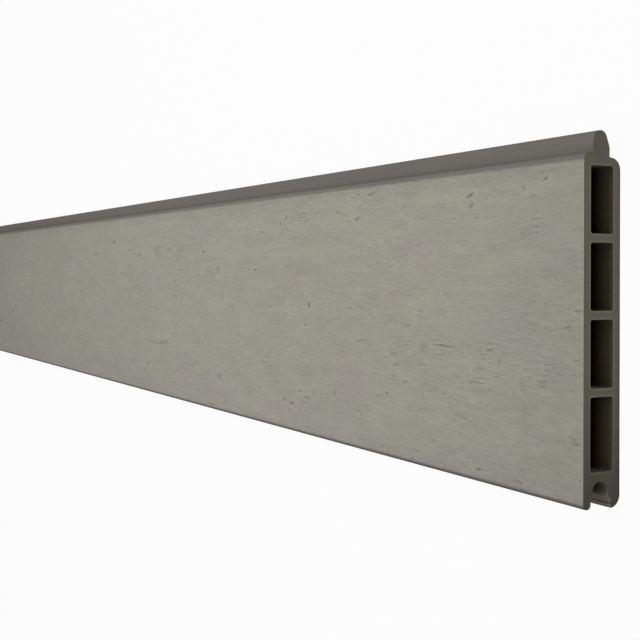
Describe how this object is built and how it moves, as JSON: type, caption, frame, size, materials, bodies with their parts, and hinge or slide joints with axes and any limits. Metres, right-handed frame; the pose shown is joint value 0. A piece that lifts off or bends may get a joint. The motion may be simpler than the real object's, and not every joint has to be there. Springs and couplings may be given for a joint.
{
  "type": "composite fence board",
  "caption": "Hollow extruded fence board of wood-plastic composite, with a tapered tongue along one long edge and a groove along the other, to stack between posts.",
  "frame": {"origin": "on the back face that the board lies on, midway along its length and midway across its overall width", "axes": "+X along the board, +Y across it towards the tongue, +Z out of the finished face"},
  "size_m": [1.8, 0.1596, 0.02],
  "materials": {
    "composite": "matte, with a fine lengthwise brushed grain on the finished face"
  },
  "bodies": {
    "root": {"fence_board": "composite"}
  },
  "joints": []
}
